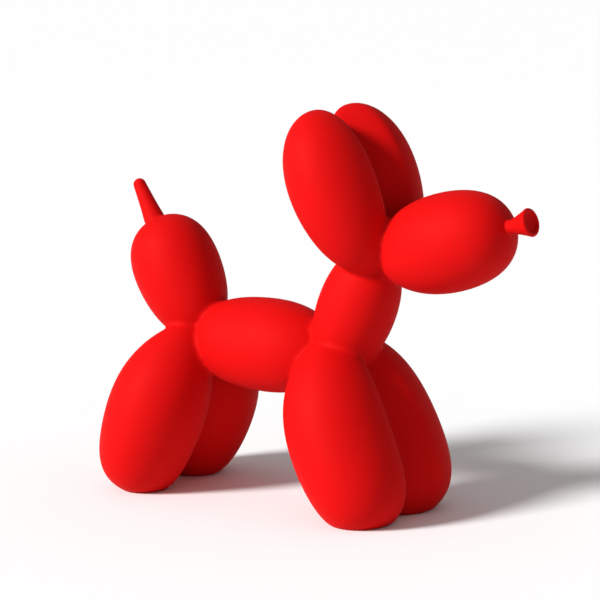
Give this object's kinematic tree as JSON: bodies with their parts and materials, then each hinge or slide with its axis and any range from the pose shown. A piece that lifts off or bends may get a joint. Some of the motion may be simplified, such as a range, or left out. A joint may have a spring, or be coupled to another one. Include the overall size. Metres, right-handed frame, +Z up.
{
  "type": "balloon dog figurine",
  "caption": "Matte red cast figurine in the form of a dog twisted from a long balloon, standing on four flat soles; a shelf or table ornament.",
  "frame": {"origin": "on the floor plane, below the middle of the figure's bounding box", "axes": "+X runs forward to the nose, +Y to the dog's left, +Z up"},
  "size_m": [0.2184, 0.09, 0.1841],
  "materials": {
    "matte_red_paint": "even matte soft-touch red paint over cast resin"
  },
  "bodies": {
    "root": {"balloon_poodle": "matte_red_paint"}
  },
  "joints": []
}
